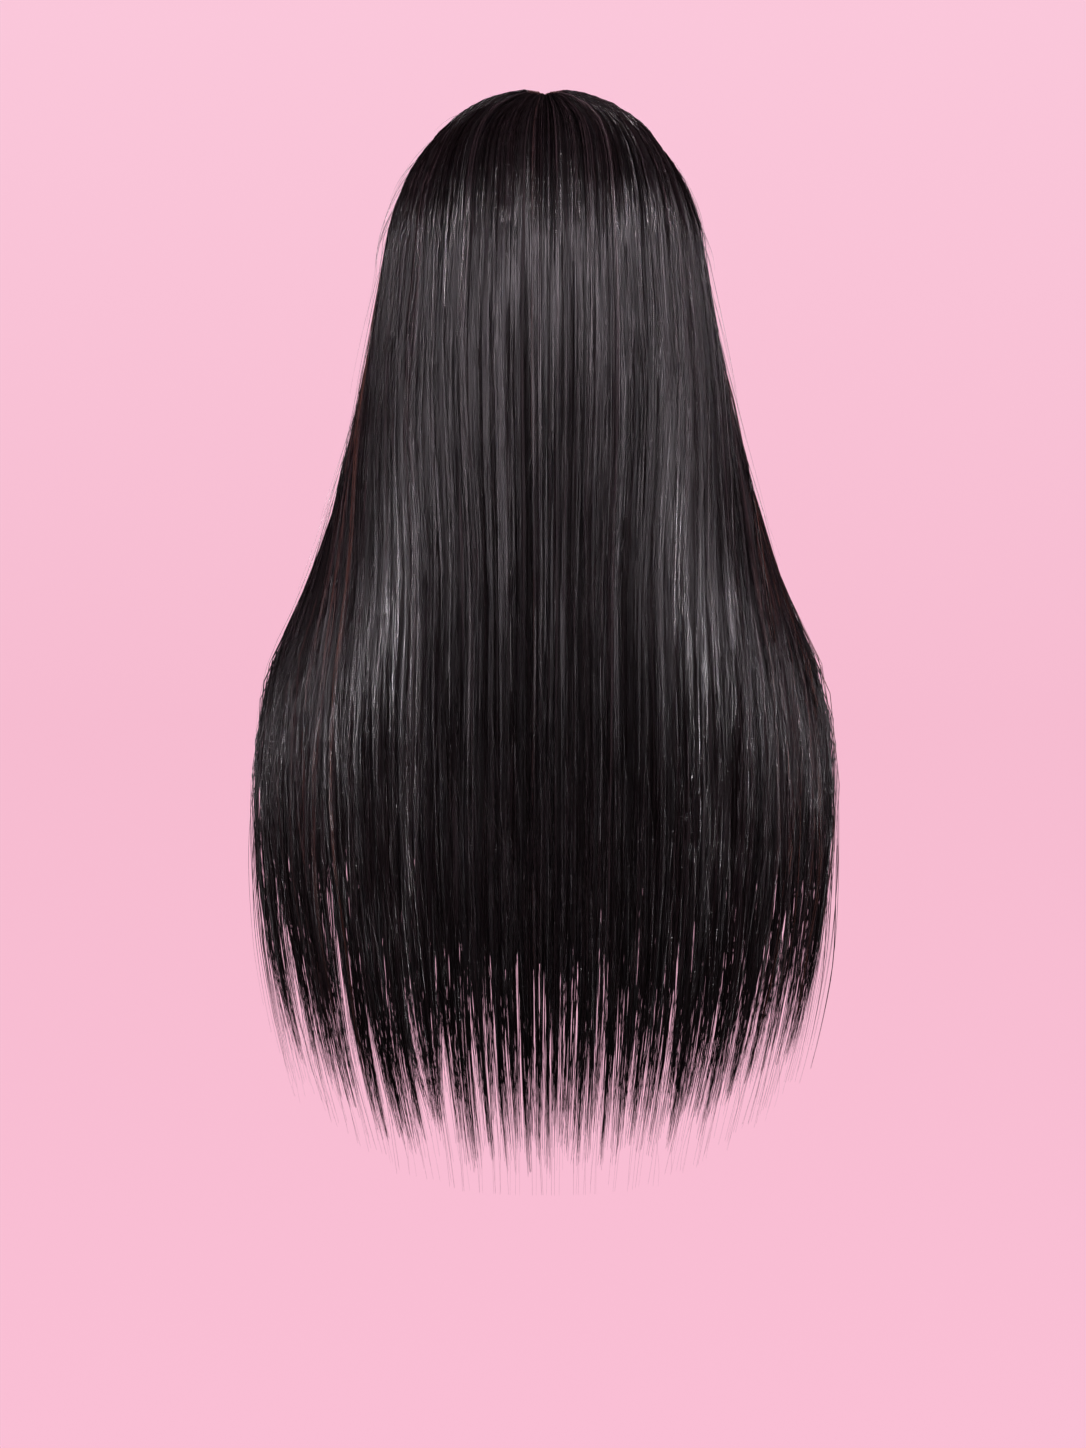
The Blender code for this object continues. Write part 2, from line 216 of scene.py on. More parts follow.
def table_slopes(places, rows):
    """The slope of each row, taken across its two neighbours."""
    slopes = np.zeros_like(rows)
    for k in range(len(places)):
        low, high = max(k - 1, 0), min(k + 1, len(places) - 1)
        slopes[k] = (rows[high] - rows[low]) / (places[high] - places[low])
    return slopes


DROPS = np.array([section.drop for section in SECTIONS])
RINGS = fall_rings()
SLOPES = table_slopes(DROPS, RINGS)


def ring_at(drop):
    """The sections at those drops, smoothly interpolated."""
    drop = np.clip(drop, 0.0, 1.0)
    i = np.clip(np.searchsorted(DROPS, drop, side="right") - 1, 0, len(DROPS) - 2)
    span = (DROPS[i + 1] - DROPS[i])[..., None]
    t = (drop[..., None] - DROPS[i][..., None]) / span
    straight = lerp(RINGS[i], RINGS[i + 1], t * t * (3 - 2 * t))
    bent = straight + span * (SLOPES[i] * t * (1 - t) ** 2 - SLOPES[i + 1] * t * t * (1 - t))
    return Ring(*np.moveaxis(bent, -1, 0))


def angle_at(share, wrap, flat):
    """Where a share lies round a section, in radians from the middle of the back."""
    even = np.radians(share * wrap)
    across = np.arcsin(np.clip(share, -SHARE_LIMIT, SHARE_LIMIT)) * wrap / 90
    return lerp(even, across, flat)


def head_way(share, along):
    """The directions from the cap's centre to a lock, from its root at 0 to the widest level at 1."""
    side = np.where(share < 0, -1.0, 1.0)
    turn = np.radians(90) * np.minimum(np.abs(share) / WHORL_SHARE, 1.0)
    forward = np.maximum(np.abs(share) - WHORL_SHARE, 0.0) / (1 - WHORL_SHARE)
    around = np.radians(lerp(PARTING_BACK, PARTING_FRONT, forward))
    root = along_axes(0.0, np.sin(around), np.cos(around))
    backward = along_axes(0.0, np.cos(around), -np.sin(around))
    leaving = backward * np.cos(turn)[..., None] + along_axes(side * np.sin(turn), 0.0, 0.0)
    root = unit(root + leaving * (PARTING_WIDTH / 2 / CROWN_HEIGHT))
    angle = angle_at(share, SECTIONS[0].wrap, SECTIONS[0].flat)
    level = along_axes(np.sin(angle), np.cos(angle), 0.0)
    above = level + along_axes(0.0, 0.0, lerp(BEND_AT_BACK, BEND_AT_EDGE, np.abs(share)))
    over = root + leaving * LEAVING_RUN
    t = along[..., None]
    s = 1 - t
    return unit(root * s**3 + over * 3 * t * s**2 + above * 3 * t**2 * s + level * t**3)


def on_head(share, along, depth):
    way = head_way(share, along)
    width, back, brow, above = hair_axes()
    inner_width, inner_back, inner_brow, inner_above = inner_axes()
    full = lerp(ROOT_RISE, 1.0, eased(along / ROOT_RUN))
    full = full + CREST * np.sin(2 * math.pi * along) * (1 - along)
    edged = lerp(EDGE_RISE, 1.0, eased((1 - np.abs(share)) / EDGE_RUN))
    full = full * lerp(edged, 1.0, eased(2 * along - 1))
    depth = 1 - (1 - depth) * full
    behind = way[..., 1] > 0
    reach = np.where(behind, lerp(back, inner_back, depth), lerp(brow, inner_brow, depth))
    return along_axes(
        way[..., 0] * lerp(width, inner_width, depth),
        way[..., 1] * reach,
        way[..., 2] * lerp(above, inner_above, depth) - CROWN_HEIGHT,
    )


def in_fall(share, drop, depth):
    ring = ring_at(drop)
    angle = angle_at(share, ring.wrap, ring.flat)
    width = lerp(ring.width, ring.inner_width, depth)
    behind = np.cos(angle) > 0
    reach = np.where(
        behind, lerp(ring.back, ring.inner_back, depth), lerp(ring.brow, ring.inner_brow, depth)
    )
    return along_axes(
        width * np.sin(angle),
        ring.side + reach * np.cos(angle),
        -CROWN_HEIGHT - FALL_LENGTH * drop,
    )


def hair_points(share, station, depth):
    """Points in the hair. Stations 0 to 1 lie over the cap, and 1 to 2 down the fall."""
    share, station, depth = np.broadcast_arrays(share, station, depth)
    head = on_head(share, np.clip(station, 0.0, 1.0), depth)
    fall = in_fall(share, np.maximum(station - 1, 0.0), depth)
    return np.where((station < 1)[..., None], head, fall)


def thickness(station):
    """The hair's thickness at those stations."""
    over_cap = lerp(OVER_CROWN, OVER_EARS, eased(station))
    return np.where(station < 1, over_cap, ring_at(np.maximum(station - 1, 0.0)).thick)


# Locks, into which the hair draws together, and the ribbons of hair inside them

Locks = namedtuple("Locks", "edges middle parted tip lean wave phase centre")
Ribbons = namedtuple("Ribbons", "lock middle half lift tone gloss wave phase early short lean brown tilt")

# How uneven the locks are: their widths, where they part, how much shorter they end and how far they lean
LOCK_WIDTHS = 0.42
LOCK_PARTED = (-0.04, 0.045)
LOCK_SHORT = 0.018
LOCK_LEAN = 0.22
LOCK_CENTRE = (0.18, 0.50)

# The same for ribbons, how far they lie in or out, and how much earlier than its lock each draws together
RIBBON_WIDTHS = 0.45
RIBBON_SHORT = 0.022
RIBBON_LEAN = 0.0055
RIBBON_LIFT = (-0.05, 0.26)
RIBBON_EARLY = (0.06, 0.40)

# Red brown ribbons lie towards the sides
BROWN_RIBBONS = 0.50
BROWN_FROM = 0.66
BROWN_RUN = 0.15


def hem_at(share):
    """The station where hair of full length ends."""
    return 2 - HEM_RISE * np.abs(share) ** HEM_CURVE


def make_locks(rng, first, last, count, trim):
    widths = np.exp(rng.normal(0.0, LOCK_WIDTHS, count))
    edges = first + (last - first) * np.concatenate([[0.0], np.cumsum(widths) / widths.sum()])
    middle = (edges[1:] + edges[:-1]) / 2
    parted = 1 + lerp(PARTED_MIDDLE, PARTED_SIDES, np.abs(middle)) + rng.normal(*LOCK_PARTED, count)
    short = np.abs(rng.normal(0.0, LOCK_SHORT, count)) * (1 - 0.6 * middle**4)
    tip = 1 + (hem_at(middle) - 1) * (1 - trim - short)
    lean = rng.normal(0.0, LOCK_LEAN, count) * np.diff(edges)
    wave = rng.normal(0.0, 1.0, (count, 3))
    phase = rng.uniform(0.0, 2 * math.pi, (count, 3))
    centre = rng.uniform(*LOCK_CENTRE, count)
    return Locks(edges, middle, parted, tip, lean, wave, phase, centre)


def make_ribbons(rng, locks, to_a_lock):
    count = len(locks.middle) * to_a_lock
    lock = np.repeat(np.arange(len(locks.middle)), to_a_lock)
    widths = np.exp(rng.normal(0.0, RIBBON_WIDTHS, (len(locks.middle), to_a_lock)))
    ends = np.cumsum(widths, axis=1) / widths.sum(axis=1, keepdims=True)
    starts = np.concatenate([np.zeros((len(locks.middle), 1)), ends[:, :-1]], axis=1)
    whole = np.diff(locks.edges)[:, None]
    middle = (locks.edges[:-1, None] + whole * (starts + ends) / 2).ravel()
    half = (np.abs(whole) * (ends - starts) / 2).ravel()
    return Ribbons(
        lock, middle, half,
        lift=rng.uniform(*RIBBON_LIFT, count),
        tone=rng.beta(2.0, 3.0, count),
        gloss=rng.beta(2.0, 2.0, count),
        wave=rng.normal(0.0, 1.0, (count, 2)),
        phase=rng.uniform(0.0, 2 * math.pi, (count, 3)),
        early=rng.uniform(*RIBBON_EARLY, count),
        short=np.abs(rng.normal(0.0, RIBBON_SHORT, count)),
        lean=rng.normal(0.0, RIBBON_LEAN, count),
        brown=rng.random(count) < BROWN_RIBBONS * eased((np.abs(middle) - BROWN_FROM) / BROWN_RUN),
        tilt=rng.normal(0.0, RIBBON_TILT, count),
    )


# Strands

EFFORT_AT = np.array([0.0, 0.12, 1.0, 1.62, 2.0])
EFFORT = np.array([0.0, 2.0, 8.5, 13.0, 20.0])
ROOT_STEP = 0.012


def spread_rows(start, end, rows):
    """Stations down each strand, closer together over the cap and towards the tips."""
    first = column(np.interp(start + ROOT_STEP, EFFORT_AT, EFFORT))
    last = column(np.interp(end, EFFORT_AT, EFFORT))
    rest = np.interp(lerp(first, last, np.linspace(0, 1, rows - 1)[None, :]), EFFORT, EFFORT_AT)
    return np.concatenate([column(start), rest], axis=1)


def wavy(station, frequency, phase):
    return np.sin(2 * math.pi * frequency * station + column(phase))


# A thin line that runs down from the whorl, where hair lies deeper
SEAM_AT = 0.062
SEAM_HALF_WIDTH = 0.006
SEAM_DEPTH = 0.5
SEAM_END = 1.7
SEAM_FADE = 0.5


def seam(across, station):
    """How deep hair lies in the thin line."""
    line = np.exp(-(((across - SEAM_AT) / SEAM_HALF_WIDTH) ** 2))
    return SEAM_DEPTH * line * eased((SEAM_END - station) / SEAM_FADE)


# How much shorter strands end: any strand, one beside its lock's middle, and a stray
ANY_SHORTER = 0.25
ANY_SHORTER_POWER = 1.7
BESIDE_SHORTER = 0.03
STRAY_SHORTER = 0.04

# How strands lie across their lock
RIBBON_OVERLAP = 1.1
FINE_GATHER = 0.88
STRAY_APART = 0.65
STRAY_SPREAD = 0.5
STRAND_SPLAY = 0.007
STRAY_SPLAY = 0.020
HEM_SWEEP = 0.035
WIDEST_SHARE = 1.02

# How deep strands lie: at their root, beside their lock's middle and at the tips
ROOT_DEPTH = 0.98
ROOT_RISEN = (0.010, 0.022)
LOCK_VALLEY = 0.12
TIP_SETTLED = 0.75
STRAY_UNSETTLED = 0.6


def relief_at(station, locks, lock, ribbons, ribbon):
    """How far locks and ribbons stand in, in metres."""
    relief = LOCK_WAVE * column(locks.wave[lock, 1]) * wavy(station, LOCK_WAVES, locks.phase[lock, 1])
    for k, waves in enumerate(RIBBON_WAVES):
        high = RIBBON_WAVE * column(ribbons.wave[ribbon, k])
        relief = relief + high * wavy(station, waves, ribbons.phase[ribbon, k + 1])
    return relief


def strand_paths(rng, layer, locks, ribbons, ribbon, depth, start):
    """Centre lines of strands: they rise from the cap, lie in their ribbons and draw together to tips."""
    count = len(ribbon)
    lock = ribbons.lock[ribbon]
    lock_middle, lock_half = locks.middle[lock], np.abs(np.diff(locks.edges))[lock] / 2
    middle = ribbons.middle[ribbon]
    own = middle + ribbons.half[ribbon] * rng.uniform(-RIBBON_OVERLAP, RIBBON_OVERLAP, count)
    stray = rng.random(count) < layer.loose
    tip, parted, early = locks.tip[lock], locks.parted[lock], ribbons.early[ribbon]
    off_middle = np.abs(middle - lock_middle) / lock_half
    shorter = rng.random(count) ** ANY_SHORTER_POWER * ANY_SHORTER
    shorter = shorter + off_middle * BESIDE_SHORTER * rng.random(count)
    end = tip - ribbons.short[ribbon] - shorter - stray * rng.random(count) * STRAY_SHORTER
    station = spread_rows(start, end, layer.rows)

    # Ways from where a lock or its ribbon draws together, at 0, to the tip at 1
    way = np.clip((station - column(parted)) / column(tip - parted), 0.0, 1.0)
    fine_way = np.clip((station - column(parted - early)) / column(tip - parted + early), 0.0, 1.0)
    drawn = 1 - layer.gather * way**1.3
    fine = 1 - FINE_GATHER * fine_way**1.1
    drawn = np.where(column(stray), lerp(drawn, 1.0, STRAY_APART), drawn)
    fine = np.where(column(stray), 1.0 + STRAY_SPREAD * fine_way, fine)
    splay = column(rng.normal(0.0, 1.0, count) * lerp(STRAND_SPLAY, STRAY_SPLAY, stray))
    across = column(lock_middle) + column(middle - lock_middle) * drawn
    across = across + column(own - middle) * fine + column(locks.lean[lock]) * way**2
    across = across + column(ribbons.lean[ribbon]) * way**1.5 + splay * way**2.2
    across = across * (1 - HEM_SWEEP * way**2)
    swing = eased((station - 0.5) / 1.1)
    wander = LOCK_SWAY * column(locks.wave[lock, 0]) * wavy(station, LOCK_SWAYS, locks.phase[lock, 0])
    wander = wander + RIBBON_SWAY * wavy(station, RIBBON_SWAYS, ribbons.phase[ribbon, 0])
    sway = lerp(STRAND_SWAY, STRAY_SWAY, column(stray))
    wander = wander + sway * wavy(station, STRAND_SWAYS, rng.uniform(*SWAY_PHASES, count))
    across = np.clip(across + wander * swing, -WIDEST_SHARE, WIDEST_SHARE)

    # Depths, from 0 at the hair's outside to 1 at the cap
    deep = column(depth + ribbons.lift[ribbon] + LOCK_VALLEY * ((own - lock_middle) / lock_half) ** 2)
    relief = relief_at(station, locks, lock, ribbons, ribbon)
    risen = eased((station - column(start)) / column(rng.uniform(*ROOT_RISEN, count)))
    shown = lerp(0.15, 1.0, eased((station - 0.4) / 0.9)) * eased(station / 0.2)
    deep = deep + relief * (1 / thickness(station)) * shown + seam(across, station)
    deep = lerp(ROOT_DEPTH, deep, risen)
    settled = TIP_SETTLED * way**1.3 * (1 - STRAY_UNSETTLED * column(stray))
    deep = lerp(deep, column(locks.centre[lock]), settled)
    return hair_points(across, station, np.minimum(deep, 1.0)), station, end


# The line inside the hair from which its outside faces away
FALL_AXIS = np.array([0.0, 0.02, 0.0])


def tube_mesh(name, lines, radius, station, **attributes):
    """One mesh of closed thin tubes along the centre lines, with a bake cell for each tube."""
    sides = STRAND_SIDES
    count, rows = lines.shape[:2]
    ahead = unit(np.gradient(lines, axis=1))
    outward = lines - FALL_AXIS
    outward[..., 2] = np.maximum(lines[..., 2] + CROWN_HEIGHT, 0.0)
    sideways = unit(np.cross(ahead, outward))
    outward = np.cross(sideways, ahead)
    turns = np.arange(sides) * 2 * math.pi / sides + math.pi / 2
    ring = (
        outward[:, :, None, :] * np.sin(turns)[None, None, :, None]
        + sideways[:, :, None, :] * np.cos(turns)[None, None, :, None]
    )
    verts = lines[:, :, None, :] + ring * radius[:, :, None, None]
    base = (np.arange(count) * rows * sides)[:, None, None]
    row = (np.arange(rows - 1) * sides)[None, :, None]
    k = np.arange(sides)[None, None, :]
    following = (k + 1) % sides
    quads = np.stack(
        [base + row + k, base + row + following, base + row + sides + following, base + row + sides + k],
        axis=-1,
    ).reshape(-1, 4)
    start_caps = (base[:, 0, :] + np.arange(sides)[::-1][None, :]).reshape(-1, sides)
    end_caps = (base[:, 0, :] + (rows - 1) * sides + np.arange(sides)[None, :]).reshape(-1, sides)
    loops = np.concatenate([quads.ravel(), start_caps.ravel(), end_caps.ravel()])
    sizes = np.concatenate([np.full(len(quads), 4), np.full(2 * count, sides)])
    mesh = bpy.data.meshes.new(name)
    mesh.vertices.add(count * rows * sides)
    mesh.vertices.foreach_set("co", verts.astype(np.float32).ravel())
    mesh.loops.add(len(loops))
    mesh.loops.foreach_set("vertex_index", loops.astype(np.int32))
    mesh.polygons.add(len(sizes))
    mesh.polygons.foreach_set("loop_start", np.concatenate([[0], np.cumsum(sizes)[:-1]]).astype(np.int32))
    mesh.polygons.foreach_set("loop_total", sizes.astype(np.int32))
    uv = mesh.uv_layers.new(name="OFBake", do_init=False)
    uv.uv.foreach_set("vector", bake_cells(count, rows, sides).astype(np.float32).ravel())
    for key, values in attributes.items():
        set_attribute(mesh, key, np.repeat(values, rows * sides))
    set_attribute(mesh, "station", np.repeat(station.ravel(), sides))
    steps = np.linalg.norm(np.diff(lines, axis=1), axis=-1)
    run = np.concatenate([np.zeros((count, 1)), np.cumsum(steps, axis=1)], axis=1)
    set_attribute(mesh, "run", np.repeat(run.ravel(), sides))
    mesh.update(calc_edges=True)
    mesh.validate()
    mesh.shade_smooth()
    return mesh


# How much of its bake cell a tube fills, the margin beside it, and the corners of its end faces
CELL_FILL = 0.9
CELL_MARGIN = 0.05
CELL_CAP = np.array([[0.0, 0.0], [0.04, 0.0], [0.02, 0.03]])
CELL_LAST_CAP = 0.96


def bake_cells(count, rows, sides):
    """Where each tube's faces lie in a square grid of cells: girth across a cell and length along it."""
    cells = int(math.ceil(math.sqrt(count)))
    cell = 1 / cells
    corner_u = (np.arange(count) % cells) * cell
    corner_v = (np.arange(count) // cells) * cell
    k = np.arange(sides)[None, None, :]
    along = np.arange(rows) / (rows - 1)
    u0 = (k / sides * CELL_FILL + CELL_MARGIN) * cell
    u1 = ((k + 1) / sides * CELL_FILL + CELL_MARGIN) * cell
    v0 = (along[:-1] * CELL_FILL + CELL_MARGIN)[None, :, None] * cell
    v1 = (along[1:] * CELL_FILL + CELL_MARGIN)[None, :, None] * cell
    cu, cv = corner_u[:, None, None], corner_v[:, None, None]
    full = (count, rows - 1, sides)
    walls = np.stack(
        [
            np.stack([np.broadcast_to(cu + u, full), np.broadcast_to(cv + v, full)], axis=-1)
            for u, v in ((u0, v0), (u1, v0), (u1, v1), (u0, v1))
        ],
        axis=-2,
    ).reshape(-1, 2)
    cap = CELL_CAP * cell
    corner = np.stack([corner_u, corner_v], axis=-1)[:, None, :]
    first = (corner + cap).reshape(-1, 2)
    last = (corner + cap + np.array([0.0, CELL_LAST_CAP * cell])).reshape(-1, 2)
    return np.concatenate([walls, first, last])


def set_attribute(mesh, name, values):
    layer = mesh.attributes.new(name, "FLOAT", "POINT")
    layer.data.foreach_set("value", np.asarray(values, dtype=np.float32))


def add_piece(name, mesh, material, slot, *nodes):
    mesh.materials.append(material)
    piece = bpy.data.objects.new(name, mesh)
    bpy.context.collection.objects.link(piece)
    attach(piece, "root")
    if nodes:
        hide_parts(*nodes)


def strand_radius(rng, station, start, end, size=1.0):
    own = STRAND_RADIUS * size * column(rng.uniform(*STRAND_SIZES, len(start)))
    swell = lerp(ROOT_THIN, 1.0, eased((station - column(start)) / ROOT_SWELL_RUN))
    taper = lerp(TIP_THIN, 1.0, eased((column(end) - station) / TIP_TAPER_RUN))
    return own * swell * taper


# The share of brown strands anywhere and in a brown ribbon, and of strands whose shine is turned further
BROWN_ANYWHERE = 0.004
BROWN_IN_RIBBON = 0.70
TURNED_STRANDS = 0.10
TURNED_TILT = 4


def strand_colours(rng, ribbons, ribbon, depth):
    """Tones, most near black and a few red brown towards the sides, darker deeper in the hair as painted
    shade, and gloss, less of it inside.
    """
    count = len(ribbon)
    tone = BLACK_TONES * np.clip(0.45 * ribbons.tone[ribbon] + 0.85 * rng.random(count) ** 4, 0.0, 1.0)
    brown = rng.random(count) < BROWN_ANYWHERE + BROWN_IN_RIBBON * ribbons.brown[ribbon]
    tone = np.where(brown, rng.uniform(0.7, 1.0, count), tone)
    inside = eased((depth + ribbons.lift[ribbon]) / 0.45)
    gloss = 0.60 * ribbons.gloss[ribbon] + 0.40 * rng.random(count)
    tilt = rng.normal(0.0, STRAND_TILT, count) * (1 + TURNED_TILT * (rng.random(count) < TURNED_STRANDS))
    tilt = tilt + ribbons.tilt[ribbon]
    # Painted shade: deeper strands get a darker tone, standing in for the shade between the outer strands
    return {"tone": tone * (1 - 0.7 * inside), "gloss": gloss * (1 - 0.8 * inside), "tilt": tilt}


# Finishes

# The sockets of a Mix node that mixes colours
MIX_SHARE = 0
MIX_FIRST = 6
MIX_SECOND = 7
MIX_RESULT = 2


class Number:
    """A number that varies over a surface, for use in expressions."""

    def __init__(self, tree, link):
        self.tree = tree
        self.link = link

    def __add__(self, other):
        return self.tree.math("ADD", self, other)

    def __sub__(self, other):
        return self.tree.math("SUBTRACT", self, other)

    def __rsub__(self, other):
        return self.tree.math("SUBTRACT", other, self)

    def __mul__(self, other):
        return self.tree.math("MULTIPLY", self, other)

    def __pow__(self, other):
        return self.tree.math("POWER", self, other)

    def __rpow__(self, other):
        return self.tree.math("POWER", other, self)

    __radd__ = __add__
    __rmul__ = __mul__


class Nodes:
    """The nodes of a finish or of the room."""

    def __init__(self, owner):
        owner.use_nodes = True
        self.nodes = owner.node_tree.nodes
        self.links = owner.node_tree.links

    def node(self, kind, settings, sockets):
        """A new node. Its settings are set first, then the values or links of its sockets."""
        made = self.nodes.new(kind)
        for name, value in settings.items():
            if name == "stops":
                set_stops(made.color_ramp.elements, value)
            else:
                setattr(made, name, value)
        self.feed(made, sockets)
        return made

    def feed(self, node, sockets):
        """Values or links for a node's sockets, each under its name or number."""
        for name, value in sockets.items():
            if isinstance(value, Number):
                value = value.link
            if isinstance(value, bpy.types.NodeSocket):
                self.links.new(value, node.inputs[name])
            else:
                node.inputs[name].default_value = value

    def math(self, operation, *values):
        made = self.node("ShaderNodeMath", {"operation": operation}, dict(enumerate(values)))
        return Number(self, made.outputs[0])

    def part(self, vector, axis):
        return Number(self, self.node("ShaderNodeSeparateXYZ", {}, {0: vector}).outputs[axis])


def set_stops(elements, stops):
    """A ramp's stops, as places and colours. The first lies at 0 and the last at 1."""
    for place, _ in stops[1:-1]:
        elements.new(place)
    for element, (_, colour) in zip(elements, stops):
        element.color = colour


class Finish(Nodes):
    """A material under construction."""

    def __init__(self, name, constants):
        self.material = bpy.data.materials.new(name)
        super().__init__(self.material)
        self.shader = self.nodes["Principled BSDF"]
        self.feed(self.shader, constants)

    def attribute(self, name):
        return Number(self, self.node("ShaderNodeAttribute", {"attribute_name": name}, {}).outputs["Fac"])

    def smooth(self, value, low, high):
        """0 where the value is under low, 1 where it is over high, and eased between them."""
        sockets = {"Value": value, "From Min": low, "From Max": high}
        made = self.node("ShaderNodeMapRange", {"interpolation_type": "SMOOTHSTEP"}, sockets)
        return Number(self, made.outputs["Result"])

    def mixed(self, share, first, second):
        sockets = {MIX_SHARE: share, MIX_FIRST: first, MIX_SECOND: second}
        return self.node("ShaderNodeMix", {"data_type": "RGBA"}, sockets).outputs[MIX_RESULT]

    def place(self):
        """Where a point lies on the piece, in metres."""
        return self.node("ShaderNodeTexCoord", {}, {}).outputs["Object"]

    def cells(self, vector, scale, feature, uneven):
        sockets = {"Vector": vector, "Scale": scale, "Randomness": uneven}
        made = self.node("ShaderNodeTexVoronoi", {"feature": feature}, sockets)
        return Number(self, made.outputs["Distance"])

    def noise(self, vector, scale, detail=2.0):
        sockets = {"Vector": vector, "Scale": scale, "Detail": detail}
        return Number(self, self.node("ShaderNodeTexNoise", {}, sockets).outputs["Fac"])

    def bump(self, height, strength, distance):
        sockets = {"Height": height, "Strength": strength, "Distance": distance}
        return self.node("ShaderNodeBump", {}, sockets).outputs["Normal"]

    def surface(self, inputs):
        self.feed(self.shader, inputs)
        return self.material


BLACK = (0.0018, 0.0009, 0.0010, 1.0)
SOFT_BLACK = (0.0340, 0.0215, 0.0240, 1.0)
RED_BROWN = (0.090, 0.032, 0.022, 1.0)
# A painted glint: lighter brown on the first stations of each strand, standing in for light at the roots by
# the parting
PAINTED_ROOT_GLINT = (0.160, 0.080, 0.072, 1.0)
ROOT_END = 0.07
STREAKS_ACROSS = 260.0
STREAKS_ALONG = 2.5


def strand_finish(name, smoothest, roughest):
    finish = Finish(name, {"IOR": 1.55, "Specular IOR Level": 0.5})
    tone = finish.attribute("tone")
    base = finish.mixed((tone * (1 / BLACK_TONES)) ** 2.0, BLACK, SOFT_BLACK)
    colour = finish.mixed(finish.smooth(tone, 0.66, 1.0) * 0.75, base, RED_BROWN)
    # Painted glint of light at the roots, lighter brown near the parting
    root_glint = 1 - finish.smooth(finish.attribute("station"), 0.0, ROOT_END)
    colour = finish.mixed(root_glint * 0.8, colour, PAINTED_ROOT_GLINT)
    rough = roughest - finish.attribute("gloss") * (roughest - smoothest)
    slope = finish.attribute("run") * finish.attribute("tilt")
    return finish.surface({"Base Color": colour, "Roughness": rough, "Normal": finish.bump(slope, 1.0, 1.0)})


def core_finish(name):
    """Black hair in the mass: fine streaks along its fall."""
    finish = Finish(name, {"IOR": 1.5, "Specular IOR Level": 0.25})
    across = finish.attribute("share") * STREAKS_ACROSS
    along = finish.attribute("station") * STREAKS_ALONG
    place = finish.node("ShaderNodeCombineXYZ", {}, {"X": across, "Y": along}).outputs["Vector"]
    streaks = finish.noise(place, 1.0, 3.0)
    colour = finish.mixed(finish.smooth(streaks, 0.35, 0.7), BLACK, SOFT_BLACK)
    normal = finish.bump(streaks, 0.8, 0.0012)
    return finish.surface({"Base Color": colour, "Roughness": 0.5 + streaks * 0.15, "Normal": normal})


# Cores: the dark mass under the strands

CORE_HEAD = (0.03, 0.08, 0.14, 0.22, 0.32, 0.42, 0.52, 0.62, 0.72, 0.82, 0.91)
CORE_FALL_ROWS = 12
CORE_TIP_ROWS = 6
CORE_COLUMNS = 4
CORE_VALLEY = 0.12
CORE_REACH = 0.20
CORE_DRAWN = (0.06, 0.88)
CORE_THINNED = 0.7


def core_mesh(name, locks, layer):
    """Closed bodies under the strands: the locks share their edges until they part, then taper."""
    head_rows = [station for station in CORE_HEAD if station >= layer.core_start]
    middle_rows = len(head_rows) + CORE_FALL_ROWS
    all_rows = middle_rows + CORE_TIP_ROWS
    count = len(locks.middle)
    neighbours = np.concatenate([locks.parted[:1], locks.parted, locks.parted[-1:]])
    parted_edges = np.minimum(neighbours[1:], neighbours[:-1])
    corners, faces, index = [], [], {}

    def corner(lock, j, row, outside):
        shared = row < middle_rows and j in (0, CORE_COLUMNS)
        key = (lock + (j == CORE_COLUMNS), row, outside) if shared else (lock, j, row, outside)
        if key not in index:
            index[key] = len(corners)
            corners.append(core_corner(lock, j / CORE_COLUMNS, row, outside))
        return index[key]

    def core_corner(lock, t, row, outside):
        share = lerp(locks.edges[lock], locks.edges[lock + 1], t)
        parted = lerp(parted_edges[lock], parted_edges[lock + 1], t)
        top, bottom = layer.core_outside + CORE_VALLEY * (2 * t - 1) ** 2, layer.core_inside
        if row < len(head_rows):
            station = head_rows[row]
        elif row < middle_rows:
            station = 1 + (parted - 1) * (row - len(head_rows)) / (CORE_FALL_ROWS - 1)
        else:
            way = (row - middle_rows + 1) / CORE_TIP_ROWS
            station = lerp(parted, lerp(parted, locks.tip[lock], CORE_REACH), way)
            share = lerp(share, locks.middle[lock], CORE_DRAWN[0] + CORE_DRAWN[1] * way**0.8)
            centre = (top + bottom) / 2
            top, bottom = lerp(top, centre, CORE_THINNED * way), lerp(bottom, centre, CORE_THINNED * way)
        return share, station, top if outside else bottom

    def add_face(turned, *places):
        face = [corner(*place) for place in places]
        faces.append(face[::-1] if turned else face)

    for lock in range(count):
        for row in range(all_rows - 1):
            for j in range(CORE_COLUMNS):
                for outside in (True, False):
                    add_face(not outside, (lock, j, row, outside), (lock, j + 1, row, outside),
                             (lock, j + 1, row + 1, outside), (lock, j, row + 1, outside))
            for j, at_end in ((0, lock == 0), (CORE_COLUMNS, lock == count - 1)):
                if at_end or row >= middle_rows - 1:
                    add_face(j > 0, (lock, j, row, True), (lock, j, row + 1, True),
                             (lock, j, row + 1, False), (lock, j, row, False))
        for row in (0, all_rows - 1):
            for j in range(CORE_COLUMNS):
                add_face(row > 0, (lock, j, row, True), (lock, j, row, False),
                         (lock, j + 1, row, False), (lock, j + 1, row, True))
    share, station, depth = np.array(corners).T
    mesh = bpy.data.meshes.new(name)
    mesh.from_pydata([tuple(point) for point in hair_points(share, station, depth)], [], faces)
    set_attribute(mesh, "share", share)
    set_attribute(mesh, "station", station)
    mesh.validate()
    mesh.shade_smooth()
    return mesh


# Groups of hair

